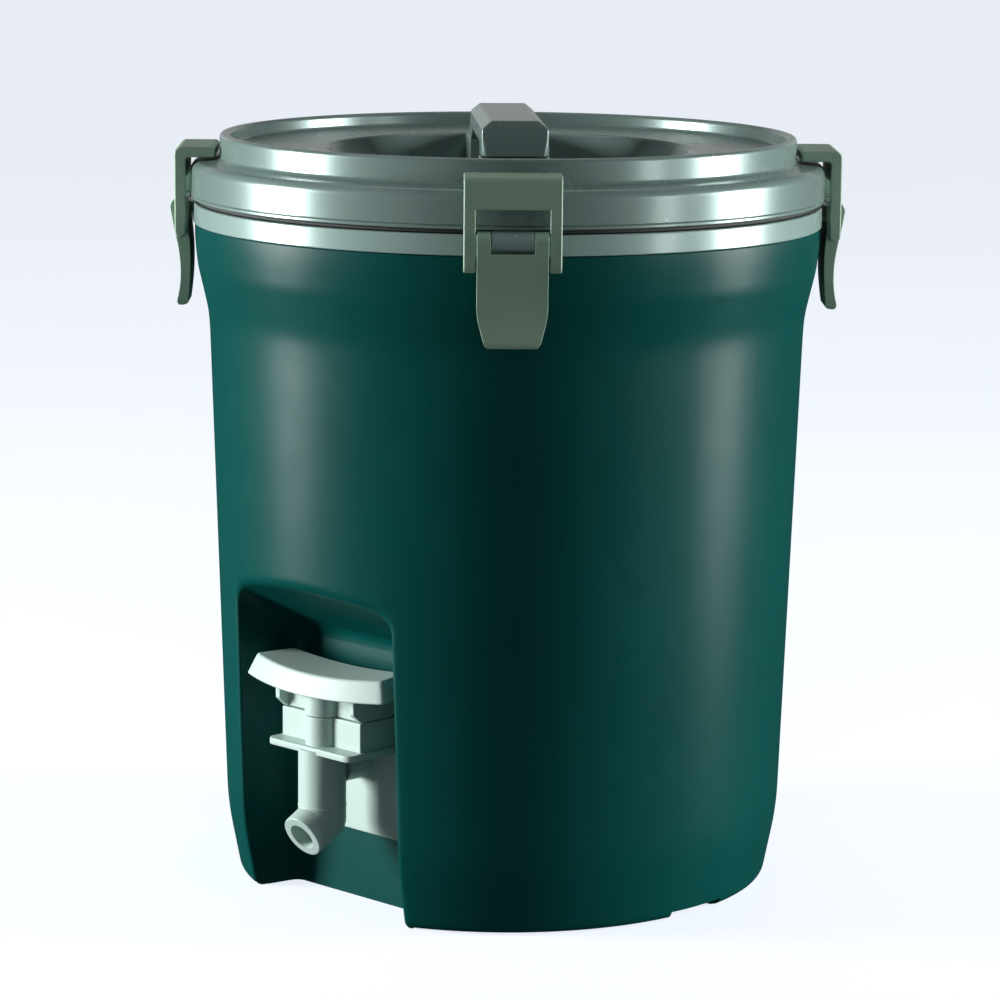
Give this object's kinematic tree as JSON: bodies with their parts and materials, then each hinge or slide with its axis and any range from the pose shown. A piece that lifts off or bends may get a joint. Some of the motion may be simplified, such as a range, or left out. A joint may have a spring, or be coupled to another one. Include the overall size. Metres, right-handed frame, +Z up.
{
  "type": "insulated drinks jug",
  "caption": "Round insulated drinks jug with a clamped lid, a carrying handle across a bowl in the lid, and a lift-lever spigot in a pocket near the base.",
  "frame": {"origin": "centre of the foot ring, on the surface that the jug stands on", "axes": "+Z up along the jug's axis, -Y towards the spigot"},
  "size_m": [0.2752, 0.2752, 0.3361],
  "materials": {
    "body_green": "satin",
    "lid_pale": "satin",
    "latch_olive": "satin",
    "spigot_mint": "satin",
    "seal_black": "matte",
    "steel": "satin",
    "foam_cream": "matte",
    "liner_white": "satin"
  },
  "bodies": {
    "jug": {"outer_shell": "body_green", "base_cover": "body_green", "base_screw_1": "steel", "base_screw_2": "steel", "base_screw_3": "steel", "base_screw_4": "steel", "inner_liner": "liner_white", "foam_insulation": "foam_cream", "rim_band": "lid_pale", "latch_fulcrum_pin_1": "steel", "latch_fulcrum_pin_2": "steel", "latch_fulcrum_pin_3": "steel", "latch_fulcrum_pin_4": "steel", "spigot_body": "spigot_mint", "spigot_lever_pin": "steel", "spigot_wall_plate": "spigot_mint", "spigot_outer_seal": "seal_black", "spigot_inner_washer": "seal_black", "spigot_lock_nut": "spigot_mint", "spigot_spring": "steel"},
    "lid": {"lid_shell": "lid_pale", "lid_inner_panel": "lid_pale", "lid_insulation": "foam_cream", "lid_gasket": "seal_black", "handle_grip": "lid_pale", "handle_screw_1": "steel", "handle_screw_2": "steel"},
    "lever_1": {"latch_lever_1": "latch_olive"},
    "frame_1": {"latch_frame_1": "latch_olive", "latch_link_pin_1": "latch_olive"},
    "lever_2": {"latch_lever_2": "latch_olive"},
    "frame_2": {"latch_frame_2": "latch_olive", "latch_link_pin_2": "latch_olive"},
    "lever_3": {"latch_lever_3": "latch_olive"},
    "frame_3": {"latch_frame_3": "latch_olive", "latch_link_pin_3": "latch_olive"},
    "lever_4": {"latch_lever_4": "latch_olive"},
    "frame_4": {"latch_frame_4": "latch_olive", "latch_link_pin_4": "latch_olive"},
    "tap_lever": {"spigot_lever": "spigot_mint"},
    "tap_stem": {"spigot_stem": "spigot_mint", "spigot_valve_seal": "seal_black"}
  },
  "joints": [
    {"name": "lid_lift", "type": "slide", "parent": "jug", "child": "lid", "axis": [0, 0, 1], "range_m": [0, 0.032]},
    {"name": "latch_lever_1_turn", "type": "hinge", "parent": "jug", "child": "lever_1", "pos_m": [0.10027, -0.10027, 0.295], "axis": [-0.7071, -0.7071, 0], "range_deg": [0, 50]},
    {"name": "latch_frame_1_turn", "type": "hinge", "parent": "lever_1", "child": "frame_1", "pos_m": [0.09991, -0.09991, 0.2848], "axis": [0.7071, 0.7071, 0], "range_deg": [0, 170]},
    {"name": "latch_lever_2_turn", "type": "hinge", "parent": "jug", "child": "lever_2", "pos_m": [0.10027, 0.10027, 0.295], "axis": [0.7071, -0.7071, 0], "range_deg": [0, 50]},
    {"name": "latch_frame_2_turn", "type": "hinge", "parent": "lever_2", "child": "frame_2", "pos_m": [0.09991, 0.09991, 0.2848], "axis": [-0.7071, 0.7071, 0], "range_deg": [0, 170]},
    {"name": "latch_lever_3_turn", "type": "hinge", "parent": "jug", "child": "lever_3", "pos_m": [-0.10027, 0.10027, 0.295], "axis": [0.7071, 0.7071, 0], "range_deg": [0, 50]},
    {"name": "latch_frame_3_turn", "type": "hinge", "parent": "lever_3", "child": "frame_3", "pos_m": [-0.09991, 0.09991, 0.2848], "axis": [-0.7071, -0.7071, 0], "range_deg": [0, 170]},
    {"name": "latch_lever_4_turn", "type": "hinge", "parent": "jug", "child": "lever_4", "pos_m": [-0.10027, -0.10027, 0.295], "axis": [-0.7071, 0.7071, 0], "range_deg": [0, 50]},
    {"name": "latch_frame_4_turn", "type": "hinge", "parent": "lever_4", "child": "frame_4", "pos_m": [-0.09991, -0.09991, 0.2848], "axis": [0.7071, -0.7071, 0], "range_deg": [0, 170]},
    {"name": "tap_lever_turn", "type": "hinge", "parent": "jug", "child": "tap_lever", "pos_m": [0, -0.0935, 0.0895], "axis": [-1, 0, 0], "range_deg": [0, 22], "stiffness_Nm_per_rad": 0.5, "springref_deg": -8.59},
    {"name": "tap_stem_lift", "type": "slide", "parent": "jug", "child": "tap_stem", "axis": [0, 0, 1], "range_m": [0, 0.0072], "deforming": ["spigot_spring"]}
  ],
  "couplings": [
    {"joint": "latch_lever_1_turn", "follows": "lid_lift", "rad_per_m": 27.27},
    {"joint": "latch_frame_1_turn", "follows": "lid_lift", "rad_per_m": 92.72},
    {"joint": "latch_lever_2_turn", "follows": "lid_lift", "rad_per_m": 27.27},
    {"joint": "latch_frame_2_turn", "follows": "lid_lift", "rad_per_m": 92.72},
    {"joint": "latch_lever_3_turn", "follows": "lid_lift", "rad_per_m": 27.27},
    {"joint": "latch_frame_3_turn", "follows": "lid_lift", "rad_per_m": 92.72},
    {"joint": "latch_lever_4_turn", "follows": "lid_lift", "rad_per_m": 27.27},
    {"joint": "latch_frame_4_turn", "follows": "lid_lift", "rad_per_m": 92.72},
    {"joint": "tap_stem_lift", "follows": "tap_lever_turn", "m_per_rad": 0.0185}
  ]
}
